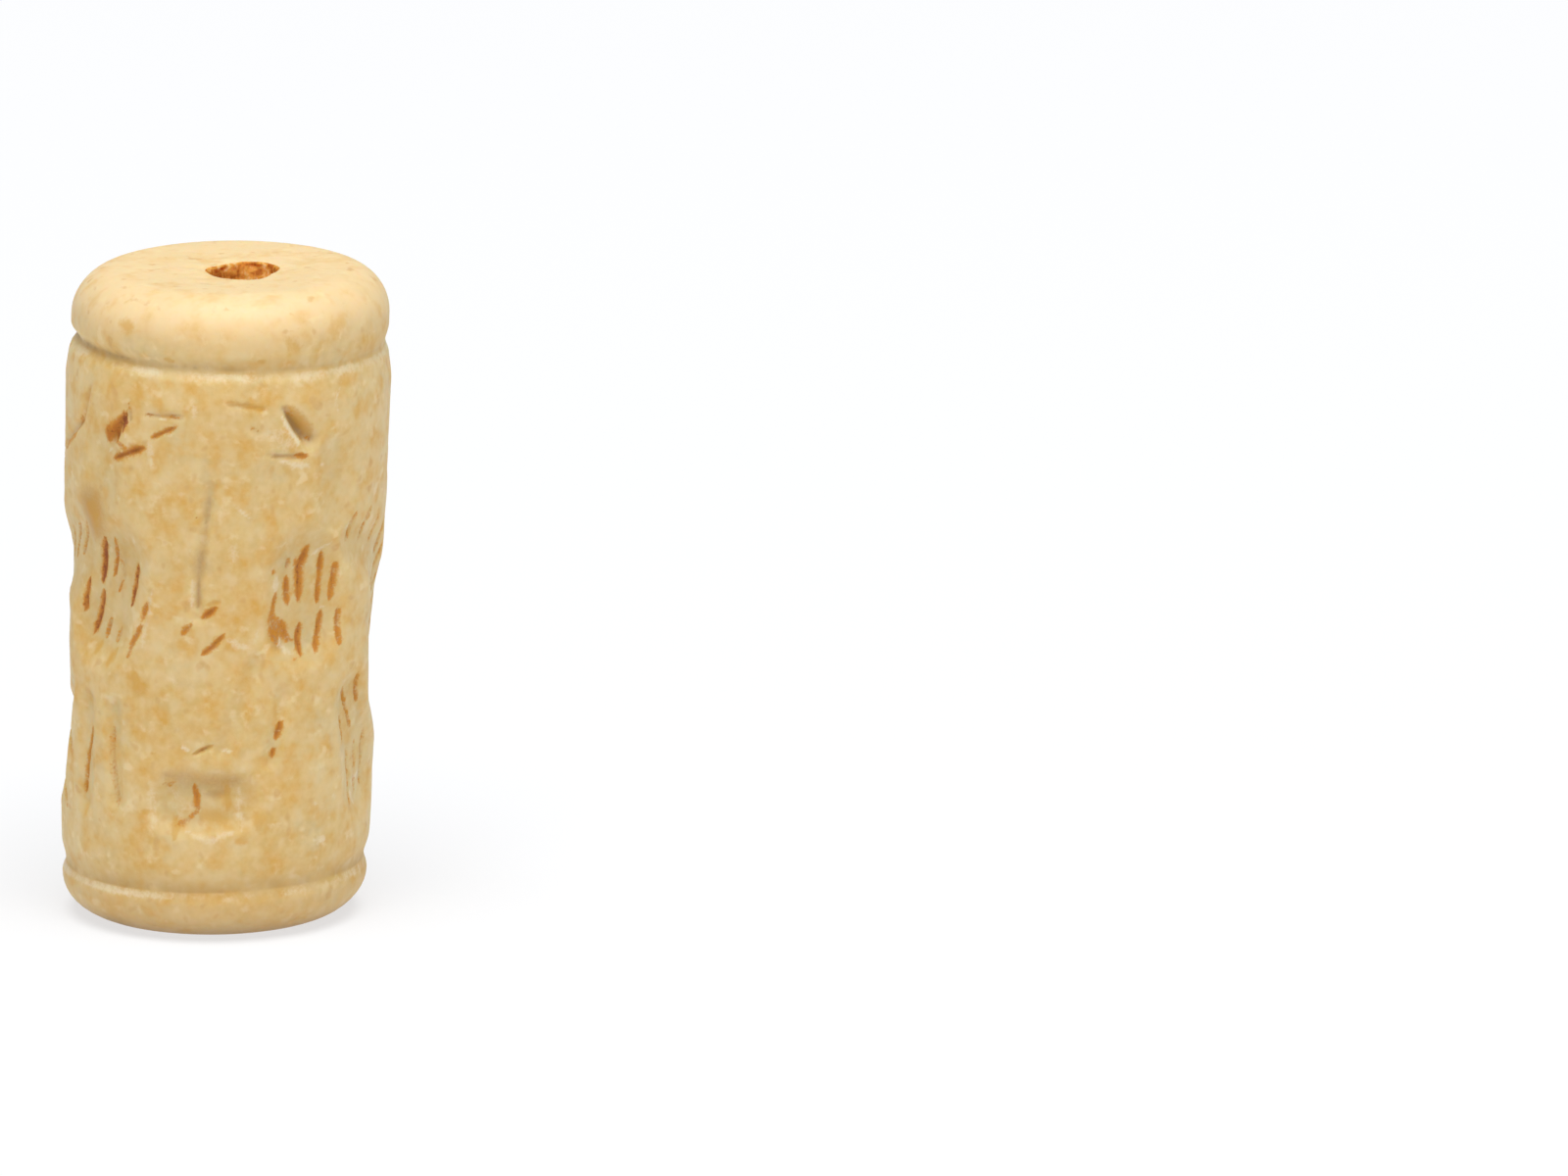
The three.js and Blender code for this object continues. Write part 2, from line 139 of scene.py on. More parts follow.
def mark(kind, places, width, strength=1.0):
    """A coloured mark along a chain of places: rust is an orange-brown deposit; the pale kind is a pale
    scratch or chip, and in places a painted highlight on a lip that faces up; ochre is a soft yellow or
    orange patch; and the brown-grey kind is painted shade along the shaded wall of a cut or hollow."""
    marks[kind].append((places, width, strength))


def feather_row(angles, upper, lower, drift=0.0, rise=0.0, **size):
    """Cuts side by side. Each starts at one of the angles and runs down from the upper share to the lower
    one, while it drifts by the given degrees."""
    middle = (angles[0] + angles[-1]) / 2
    for degrees in angles:
        lift = rise * (degrees - middle)
        cut([(degrees, upper + lift), (degrees + drift, lower + lift)], **size)


def wing_fan(root, tip, count, root_length, tip_length, drift, bow=0.0, **size):
    """Cuts hanging from a wing's leading edge, evenly from its root to its tip."""
    for i in range(count):
        along = i / (count - 1)
        degrees = mix(root[0], tip[0], along)
        start = mix(root[1], tip[1], along) + bow * math.sin(math.pi * along)
        end = start - mix(root_length, tip_length, along)
        cut([(degrees, start), (degrees + drift, end)], **size)


def standing_bird_left():
    # body
    hollow([(-44, 0.61), (-50, 0.5)], 5.6, BODY_DEPTH, floor=0.35)
    cut([(-51, 0.65), (-53.7, 0.565)], width=0.46, rust=1.6)
    cut([(-45.5, 0.654), (-45, 0.62), (-46.5, 0.58)], width=0.26, rust=0.85)
    cut([(-43.5, 0.63), (-41, 0.59)], width=0.24, depth=FEATHER_DEPTH / 2, rust=0.3)
    cut([(-33, 0.615), (-34, 0.577), (-36, 0.535)], width=0.34, rust=1.5)
    mark("rust", [(-41.5, 0.577), (-43.5, 0.556)], 0.18, 1)
    cut([(-61, 0.565), (-63, 0.5)], width=0.3, rust=1.3)
    cut([(-52.5, 0.548), (-54, 0.51), (-58, 0.463)], width=0.4, rust=1.4)
    cut([(-47.5, 0.5), (-50.5, 0.462)], width=0.24, rust=0.6)
    cut([(-41.5, 0.487), (-43, 0.458)], width=0.24, depth=FEATHER_DEPTH / 2, rust=0.5)
    cut([(-27, 0.548), (-29, 0.513)], width=0.26, rust=0.8)
    cut([(-29, 0.505), (-33, 0.469), (-35, 0.44)], width=0.28, rust=0.75)
    mark("ochre", [(-52, 0.45), (-54, 0.43)], 0.4)
    mark("ochre", [(-41.5, 0.45), (-45, 0.42)], 0.4)
    mark("chalk", [(-34, 0.67), (-34.5, 0.65)], 0.3, 0.7)
    mark("chalk", [(-25, 0.575), (-27, 0.505), (-29, 0.46)], 0.3, 0.6)

    # neck and head
    hollow([(-50, 0.7), (-47, 0.82)], 3, SHALLOW_DEPTH)
    cut([(-36.5, 0.903), (-45, 0.836)], width=0.85, depth=0.42)
    mark("rust", [(-37.7, 0.903), (-38.5, 0.868)], 0.42, 1.9)
    mark("rust", [(-39, 0.893), (-42.6, 0.868), (-42, 0.848)], 0.6, 1.2)
    mark("rust", [(-45, 0.872), (-46, 0.843)], 0.5, 1.15)
    mark("rust", [(-41, 0.845), (-37, 0.838)], 0.3, 0.8)
    mark("rust", [(-35.8, 0.921), (-35.3, 0.908)], 0.16, 0.9)
    # painted shade at the upper end of the head's cut
    mark("dirt", [(-35.5, 0.915), (-34.8, 0.89)], 0.2, 0.8)
    cut([(-43, 0.812), (-29, 0.845)], width=0.42, depth=0.2, rust=1.1)
    cut([(-26.5, 0.864), (-17, 0.891)], width=0.26, rust=0.95)
    cut([(-28.5, 0.907), (-20, 0.911), (-14.5, 0.911)], width=0.3)
    # painted shade along the beak's cut
    mark("dirt", [(-28.5, 0.907), (-20, 0.907), (-14, 0.911)], 0.24, 0.5)
    mark("rust", [(-28.5, 0.907), (-25, 0.905)], 0.18, 0.9)
    mark("rust", [(-19.5, 0.909), (-16, 0.91)], 0.15, 0.6)
    mark("chalk", [(-23.5, 0.903), (-21, 0.903)], 0.2)
    mark("chalk", [(-36.8, 0.862), (-37, 0.856)], 0.22)
    mark("chalk", [(-44.5, 0.829), (-46, 0.822)], 0.3)
    mark("chalk", [(-10.6, 0.93), (-10.6, 0.912)], 0.45, 0.9)
    mark("chalk", [(-27, 0.86), (-26, 0.81)], 0.35, 0.7)

    # wing
    hollow([(-66, 0.61), (-90, 0.565), (-115, 0.41), (-131, 0.32)], 6.4, WING_DEPTH, 3.2, 0.4, floor=0.2)
    wing_fan((-63, 0.67), (-127, 0.395), 9, 0.07, 0.08, drift=-6, bow=0.06, rust=0.5)
    cut([(-93, 0.444), (-105, 0.384), (-114, 0.34), (-136, 0.283)], BROAD_WIDTH, BROAD_DEPTH, rust=0.4)
    mark("ochre", [(-55.5, 0.712), (-55, 0.675)], 1.6, 1)
    # painted shade: a broad soft patch by the neck, and thin lines beside the body's cuts
    mark("dirt", [(-56.5, 0.712), (-56, 0.675)], 2.6, 1)
    mark("dirt", [(-40.6, 0.638), (-40.6, 0.582)], 0.3, 0.4)
    mark("dirt", [(-25.5, 0.572), (-27.1, 0.505)], 0.2, 0.4)

    hollow([(-87, 0.47), (-88, 0.33)], 6, 0.36, floor=0.1)

    # tail and legs
    hollow([(-78, 0.35), (-94, 0.22)], 3.6, 0.5, 6, 0.85, floor=0.3)
    wing_fan((-76, 0.33), (-101, 0.3), 3, 0.11, 0.12, drift=9, rust=0.4)
    wing_fan((-80, 0.2), (-113, 0.22), 5, 0.08, 0.1, drift=8, rust=0.4)
    hollow([(-55.5, 0.34), (-57, 0.15)], 1.7, SHALLOW_DEPTH)
    cut([(-53, 0.29), (-57, 0.233), (-59, 0.16)], width=0.26, depth=0.15, rust=0.85)
    hollow([(-41, 0.34), (-39.5, 0.17)], 1.5, SHALLOW_DEPTH * 0.8)
    cut([(-41.5, 0.3), (-42, 0.248), (-40.5, 0.2), (-38.5, 0.155)], width=0.3, depth=0.1, rust=0.35)
    mark("rust", [(-41.5, 0.237), (-41.5, 0.22)], 0.2, 0.7)
    mark("ochre", [(-31.5, 0.41), (-29.5, 0.378), (-27.5, 0.392)], 0.5, 1.2)


def standing_bird_right():
    # body
    hollow([(34, 0.61), (34, 0.51)], 5.4, BODY_DEPTH * 0.85, floor=0.4)
    mark("rust", [(20, 0.617), (20, 0.609)], 0.2, 0.9)
    cut([(27, 0.636), (25.5, 0.612)], width=0.22, rust=0.5)
    cut([(26, 0.598), (27, 0.545)], width=0.34, rust=0.95)
    cut([(34.5, 0.652), (31.5, 0.615), (32, 0.55)], width=0.48, rust=1)
    mark("rust", [(30, 0.628), (31, 0.6)], 0.26)
    cut([(41.5, 0.638), (40.5, 0.543)], width=0.34, rust=0.9)
    cut([(47.5, 0.614), (46, 0.543)], width=0.34, rust=0.9)
    mark("chalk", [(40.8, 0.606), (41.2, 0.606)], 0.22, 1.2)
    cut([(21.5, 0.568), (20, 0.535)], width=0.3, rust=0.8)
    cut([(20.3, 0.536), (20.3, 0.485)], width=0.5, depth=FEATHER_DEPTH / 2, rust=0.7)
    mark("rust", [(22.6, 0.52), (22.2, 0.475)], 0.4, 0.6)
    # painted shade by the body's hollow
    mark("dirt", [(22, 0.505), (22.5, 0.475)], 1.2, 0.9)
    mark("chalk", [(23.8, 0.487), (24.4, 0.47)], 0.16, 1.1)
    mark("rust", [(25.2, 0.515), (27, 0.474)], 0.4, 1)
    cut([(23.5, 0.518), (25.5, 0.485), (29, 0.474)], width=0.36, depth=FEATHER_DEPTH / 2, rust=0.72)
    cut([(32.9, 0.505), (31.9, 0.48), (32.9, 0.445)], width=0.34, rust=1.1)
    cut([(42.5, 0.522), (41.5, 0.485), (39.5, 0.448)], width=0.34, rust=0.9)
    cut([(49.5, 0.528), (49, 0.49), (49.5, 0.456)], width=0.28, rust=0.75)
    mark("chalk", [(21.3, 0.602), (21.3, 0.577)], 0.42, 0.9)
    mark("chalk", [(36.8, 0.635), (44.5, 0.654)], 0.2, 0.9)
    mark("chalk", [(42, 0.531), (44, 0.531)], 0.26, 0.8)
    mark("chalk", [(23, 0.47), (29, 0.45)], 0.3, 0.8)
    mark("rust", [(29, 0.437), (30, 0.44)], 0.15, 0.6)

    # neck and head
    hollow([(45, 0.7), (43, 0.82)], 3, SHALLOW_DEPTH)
    cut([(0, 0.943), (17, 0.925)], width=0.26, depth=FEATHER_DEPTH / 2)
    mark("ochre", [(1, 0.943), (14, 0.929)], 0.22, 0.8)
    cut([(20.5, 0.932), (31, 0.856)], width=0.6, depth=0.36)
    hollow([(23.5, 0.915), (32, 0.866)], 0.35, 0.24, 1.5, 0.38, floor=0)
    mark("ochre", [(23, 0.93), (33, 0.872)], 0.5, 1.2)
    # painted shade on the notch's shaded upper-right wall
    mark("dirt", [(22, 0.928), (27, 0.9), (32.5, 0.866)], 0.6, 1.1)
    mark("rust", [(22, 0.93), (25, 0.912)], 0.24, 0.5)
    # painted shade along the brow cut and the lower bar
    mark("dirt", [(1, 0.94), (14.5, 0.93)], 0.2, 0.6)
    mark("dirt", [(17.4, 0.838), (27, 0.832)], 0.2, 0.9)
    mark("chalk", [(20.8, 0.912), (28, 0.855)], 0.22, 1.4)
    mark("chalk", [(16, 0.884), (25.5, 0.855)], 0.8, 0.6)
    mark("rust", [(31.5, 0.867), (33, 0.862)], 0.14, 0.7)
    cut([(15, 0.842), (31, 0.834)], width=0.42, depth=0.14)
    mark("rust", [(26.5, 0.836), (30.5, 0.834)], 0.3)
    mark("chalk", [(19.4, 0.83), (29, 0.816), (31.4, 0.815)], 0.3)
    mark("chalk", [(37, 0.812), (38, 0.812)], 0.42)
    cut([(5, 0.9), (17, 0.874)], BROAD_WIDTH, FEATHER_DEPTH / 2)
    mark("rust", [(9.5, 0.896), (12, 0.888)], 0.2, 0.65)
    mark("chalk", [(46, 0.965), (42.5, 0.93), (44.5, 0.905)], 0.2, 0.7)

    # wing
    hollow([(56, 0.65), (77, 0.6), (92, 0.46), (102, 0.33)], 3.6, 0.36, 4.2, WING_DEPTH, floor=0.2)
    hollow([(88, 0.47), (92, 0.35)], 7, 0.5, floor=0.1)
    wing_fan((55.8, 0.705), (86, 0.66), 4, 0.055, 0.065, drift=-3, bow=0.02, rust=0.45)
    wing_fan((91, 0.614), (109.8, 0.372), 5, 0.09, 0.1, drift=-9, bow=0.02, rust=0.55)
    cut([(101.4, 0.262), (88, 0.34), (80, 0.384)], BROAD_WIDTH, BROAD_DEPTH, rust=0.4)

    # tail and legs
    hollow([(60, 0.34), (70, 0.17)], 3.6, 0.4, 4.8, 0.42, floor=0.3)
    cut([(55, 0.365), (59, 0.32), (63, 0.28)], width=0.24, rust=0.65)
    cut([(64, 0.385), (67, 0.325)], width=0.26, rust=0.75)
    cut([(53.5, 0.31), (57, 0.26)], width=0.22, rust=0.65)
    feather_row([61, 67.5, 74], 0.25, 0.14, drift=2.6, rise=0.002, width=0.26, rust=0.35)
    mark("chalk", [(55.5, 0.36), (56.5, 0.35)], 0.26)
    mark("chalk", [(68, 0.163), (73, 0.178)], 0.3)
    mark("chalk", [(65, 0.156), (68.5, 0.12)], 0.2, 0.8)
    hollow([(25, 0.38), (20.5, 0.25)], 1.2, SHALLOW_DEPTH * 0.6)
    cut([(24.5, 0.323), (23, 0.293)], width=0.3, rust=1)
    cut([(22.3, 0.272), (21.3, 0.257)], width=0.32, rust=1)
    hollow([(14, 0.44), (2.5, 0.28)], 1.4, SHALLOW_DEPTH * 0.6)
    cut([(-8, 0.267), (-1, 0.285)], width=0.32, depth=0.26)
    mark("ochre", [(-7.5, 0.268), (-1, 0.284)], 0.24, 1.2)
    mark("chalk", [(-12, 0.28), (-10, 0.274)], 0.32)
    mark("chalk", [(3, 0.274), (6, 0.274)], 0.36)


def spread_bird():
    """The bird on the back, seen from the front with both wings spread."""
    hollow([(164, 0.64), (164, 0.57)], 6, BODY_DEPTH, floor=0.3)
    feather_row([179.5, 171.5, 164, 155.5, 148], 0.705, 0.63, rust=0.85)
    feather_row([184.5, 176, 167.5, 159, 151], 0.59, 0.515, rust=0.8)
    cut([(173.5, 0.452), (159, 0.435)], BROAD_WIDTH)

    hollow([(148, 0.65), (126, 0.68), (108, 0.75)], 4.6, 0.5, 2.4, 0.3)
    cut([(146, 0.735), (120, 0.79), (94, 0.856)], 0.45, BROAD_DEPTH, rust=0.7)
    wing_fan((138.8, 0.735), (95, 0.84), 6, 0.2, 0.045, drift=-2.2, bow=-0.012, rust=0.5)

    hollow([(181, 0.65), (202, 0.67), (222, 0.75)], 4.8, 0.5, 2.8, 0.26)
    cut([(199, 0.69), (222, 0.8), (245, 0.945)], 0.45, BROAD_DEPTH, rust=0.7)
    wing_fan((190, 0.685), (236, 0.78), 6, 0.15, 0.16, drift=-3.6, bow=0.015, rust=0.5)

    hollow([(167, 0.4), (164, 0.15)], 4.6, 0.34, 6.2, 0.42, floor=0.6)
    wing_fan((158, 0.38), (182, 0.38), 4, 0.2, 0.2, drift=0, rust=0.35)
    cut([(151.5, 0.27), (147, 0.13)], width=0.4)

    cut([(196, 0.473), (210.6, 0.241)], width=0.45, depth=0.3)
    cut([(216, 0.3), (210.6, 0.235)], width=0.45, depth=0.3)
    cut([(147.2, 0.446), (137.7, 0.325), (119, 0.17)], width=0.45, depth=0.3)
    hollow([(217.5, 0.154), (217.6, 0.154)], 3.3, DRILL_DEPTH, floor=0.25)
    hollow([(119.8, 0.125), (119.9, 0.125)], 3.4, DRILL_DEPTH, floor=0.25)

    cut([(171, 0.92), (184, 0.822)], width=0.8, depth=0.45, rust=0.9)
    cut([(183.8, 0.81), (164, 0.823)], BROAD_WIDTH, BROAD_DEPTH, rust=0.8)
    cut([(144.2, 0.91), (163, 0.856)], rust=0.6)
    cut([(152, 0.903), (166, 0.896)], rust=0.6)


def emblems():
    """What fills the spaces between the birds: a spear, a long oval hollow below it, an arrow and a
    drilled dot."""
    # spear
    hollow([(-4, 0.78), (-6, 0.69), (-8, 0.6), (-7.5, 0.53)], 0.9, 0.16)
    cut([(-4, 0.765), (-4.3, 0.726), (-7, 0.659), (-8, 0.603), (-7, 0.54)], width=0.36, depth=0.07)
    # painted shade along the spear's groove, and at its lower end a painted highlight on the groove's left
    # wall
    mark("dirt", [(-4.5, 0.76), (-5.5, 0.71)], 0.3, 0.6)
    mark("dirt", [(-5.5, 0.7), (-6, 0.66)], 0.5, 0.4)
    mark("dirt", [(-6.4, 0.655), (-7.4, 0.605)], 0.7, 0.6)
    mark("chalk", [(-11.5, 0.66), (-8.5, 0.655)], 0.4, 0.5)
    mark("dirt", [(-7.6, 0.6), (-7.6, 0.55)], 0.3, 0.8)
    mark("chalk", [(-9.6, 0.6), (-9.6, 0.55)], 0.3, 0.8)
    cut([(-4, 0.555), (0.5, 0.563)], width=0.24, depth=0.1)
    mark("ochre", [(-4, 0.556), (0.5, 0.562)], 0.24, 1.2)
    cut([(-5.5, 0.53), (-1, 0.55)], width=0.36, rust=1)
    cut([(-13, 0.497), (-10, 0.515)], width=0.4, depth=0.12, rust=0.75)
    cut([(-5.5, 0.46), (-2, 0.474), (2, 0.498)], width=0.32, rust=0.95)
    mark("chalk", [(4, 0.488), (9.5, 0.472)], 0.6, 0.85)
    mark("chalk", [(14.5, 0.503), (13.5, 0.483)], 0.32, 0.7)
    mark("chalk", [(4, 0.747), (7.7, 0.731), (11.6, 0.716)], 0.16, 0.8)
    mark("chalk", [(4.8, 0.668), (5, 0.642)], 0.7, 0.6)
    for place in ((-8.7, 0.721), (-10.6, 0.639), (-3.9, 0.726)):
        mark("rust", [place, (place[0] + 0.5, place[1])], 0.13, 0.9)

    # oval hollow
    hollow([(-14, 0.17), (6, 0.174)], 3.7, 0.42, floor=0.35)
    hollow([(-15, 0.192), (7, 0.197)], 2.4, 0.42, floor=0.1)
    mark("rust", [(-7.9, 0.208), (-6.6, 0.185), (-5.8, 0.155)], 0.26, 0.9)
    mark("rust", [(-6.2, 0.155), (-10, 0.136), (-14, 0.128)], 0.24, 0.6)
    mark("ochre", [(-14.5, 0.14), (-14, 0.105)], 0.36, 1.2)
    mark("rust", [(-19.5, 0.203), (-15.5, 0.207)], 0.24, 0.5)
    # painted shade under the oval's upper rim, which faces down, and on its floor
    mark("dirt", [(-18, 0.224), (-4, 0.215), (9, 0.215)], 1.0, 0.6)
    mark("chalk", [(-15, 0.185), (-12, 0.14)], 1.0, 0.5)
    mark("dirt", [(-2, 0.19), (4, 0.19)], 0.6, 0.7)
    mark("ochre", [(4.8, 0.205), (5.8, 0.16)], 0.26, 1.2)
    mark("ochre", [(-4, 0.15), (4, 0.14)], 1.0, 1.1)
    mark("ochre", [(9, 0.099), (12.5, 0.099)], 0.6, 1.1)
    mark("ochre", [(16, 0.15), (17, 0.12)], 0.5)
    mark("ochre", [(-27, 0.151), (-24.5, 0.151)], 0.3, 1.1)
    mark("ochre", [(-24.5, 0.266), (-23.5, 0.262)], 0.3)
    # a painted highlight along the oval's lower lip, which faces up
    mark("chalk", [(-9.5, 0.117), (-1, 0.101), (7.5, 0.117)], 0.35, 0.75)
    mark("chalk", [(-24.2, 0.205), (-22.3, 0.13)], 0.5, 0.55)
    mark("chalk", [(9.7, 0.197), (10.6, 0.12)], 0.45, 0.6)
    mark("chalk", [(40.6, 0.084), (46, 0.08)], 0.45, 0.9)
    mark("chalk", [(49, 0.163), (50, 0.158)], 0.4, 0.8)
    mark("chalk", [(40, 0.156), (41, 0.153)], 0.35, 0.75)

    # arrow and dot
    cut([(-56, 0.94), (-62, 0.865), (-85, 0.79)], 0.6, 0.26)
    cut([(-85, 0.79), (-98.5, 0.729)], BROAD_WIDTH, BROAD_DEPTH, rust=0.5)
    mark("rust", [(-63, 0.87), (-68, 0.83), (-80, 0.79)], 0.22, 0.6)
    cut([(-92, 0.832), (-83.9, 0.741)], rust=0.6)
    hollow([(89.6, 0.81), (89.7, 0.81)], 0.9, SHALLOW_DEPTH)


def cap_stains():
    mark("ochre", [(-43, 1.066), (-38, 1.062)], 0.8, 1)
    mark("ochre", [(22, 1.06), (27, 1.04)], 0.6, 1)
    mark("ochre", [(-23, 1.013), (-19.5, 1.01)], 0.3, 1)
    mark("ochre", [(12, 1.018), (14.5, 1.018)], 0.3, 1)


def chain_distance(places, degrees, share):
    """For every point, its distance to a chain of places on the unrolled wall, and how far along the
    chain its nearest point lies, from 0 to 1. Each stretch gives the length of point - (from + t run),
    where t is held between 0 and 1."""
    turn = 360 * np.round((places[0][0] - degrees) / 360)
    nearest = np.full(np.broadcast(degrees, share).shape, np.inf)
    progress = np.zeros_like(nearest)
    stretches = len(places) - 1
    for i, (start, end) in enumerate(zip(places, places[1:])):
        from_x = np.radians(start[0] - turn - degrees) * CARVING_RADIUS
        from_y = (start[1] - share) * BAND_HEIGHT
        run_x = math.radians(end[0] - start[0]) * CARVING_RADIUS
        run_y = (end[1] - start[1]) * BAND_HEIGHT
        t = np.clip(-(from_x * run_x + from_y * run_y) / (run_x**2 + run_y**2), 0, 1)
        distance = np.hypot(from_x + t * run_x, from_y + t * run_y)
        closer = distance < nearest
        nearest = np.where(closer, distance, nearest)
        progress = np.where(closer, (i + t) / stretches, progress)
    return nearest, progress


def chain_length(places):
    return sum(
        math.hypot(math.radians(b[0] - a[0]) * CARVING_RADIUS, (b[1] - a[1]) * BAND_HEIGHT)
        for a, b in zip(places, places[1:])
    )


def hollow_depth(degrees, share):
    """All hollows: each is full depth on its floor and eases out to its rim, and together they are the
    fourth root of the sum of their fourth powers, so that neighbours run into each other."""
    total = np.zeros(np.broadcast(degrees, share).shape)
    for places, widths, depths, floor in hollows:
        distance, progress = chain_distance(places, degrees, share)
        reach = mix(*widths, progress) / 2
        total += ((1 - ease(distance / reach, floor, 1)) * mix(*depths, progress)) ** 4
    return total**0.25


def cut_depth(degrees, share, waver):
    """All cuts: each is 1 - r^1.4 across, where r is the share of its half width, and its width shrinks to
    nothing at both ends, at one sooner than at the other. waver moves a cut's edges in and out."""
    random = np.random.default_rng(11)
    total = np.zeros(np.broadcast(degrees, share).shape)
    for places, width, depth in cuts:
        distance, progress = chain_distance(places, degrees, share)
        lengths = chain_length(places) / (width * random.uniform(0.6, 2.4, 2))
        from_end = np.minimum(progress * lengths[0], (1 - progress) * lengths[1])
        taper = np.sqrt(np.clip(from_end + 0.05, 0, 1))
        across = np.maximum(distance + waver, 0) / (width / 2) / taper
        total = np.maximum(total, depth * taper * np.clip(1 - across**1.4, 0, 1))
    return total


def mark_fields(kind, degrees, share, waver):
    """All marks of one kind, as two numbers. The first is 1 - distance / width: 1 in the middle of a
    mark, 0.5 on its edge and 0 as far outside it; where marks meet, the highest counts. The second is
    the strength of the mark that counts. waver moves the edges in and out."""
    nearness = np.zeros(np.broadcast(degrees, share).shape)
    strongest = np.zeros_like(nearness)
    for places, width, strength in marks[kind]:
        distance, progress = chain_distance(places, degrees, share)
        from_end = np.minimum(progress, 1 - progress) * chain_length(places)
        taper = np.clip(0.5 + from_end / (1.5 * width), 0, 1)
        here = np.clip(1 - (distance + waver) / (width * taper), 0, 1)
        strongest = np.where(here > nearness, strength, strongest)
        nearness = np.maximum(nearness, here)
    return nearness, strongest


def lumps(degrees, height, size, seed):
    """Smooth random swelling from -1 to 1: random values on a lattice about size apart, which closes
    round the seal, eased from one value to the next."""
    random = np.random.default_rng(seed)
    around = max(3, round(2 * math.pi * CARVING_RADIUS / size))
    lattice = random.uniform(-1, 1, (int(SEAL_HEIGHT / size) + 3, around))
    x = (degrees / 360 * around) % around
    y = np.clip(height / size, 0, lattice.shape[0] - 2)
    column, row = np.floor(x).astype(int) % around, np.floor(y).astype(int)
    right = (column + 1) % around
    across, up = ease(x - np.floor(x)), ease(y - np.floor(y))
    lower = mix(lattice[row, column], lattice[row, right], across)
    return mix(lower, mix(lattice[row + 1, column], lattice[row + 1, right], across), up)


# The surface

FINISH = ("carved", "rust", "rust_strength", "chalk", "ochre", "dirt", "bore", "crevice")


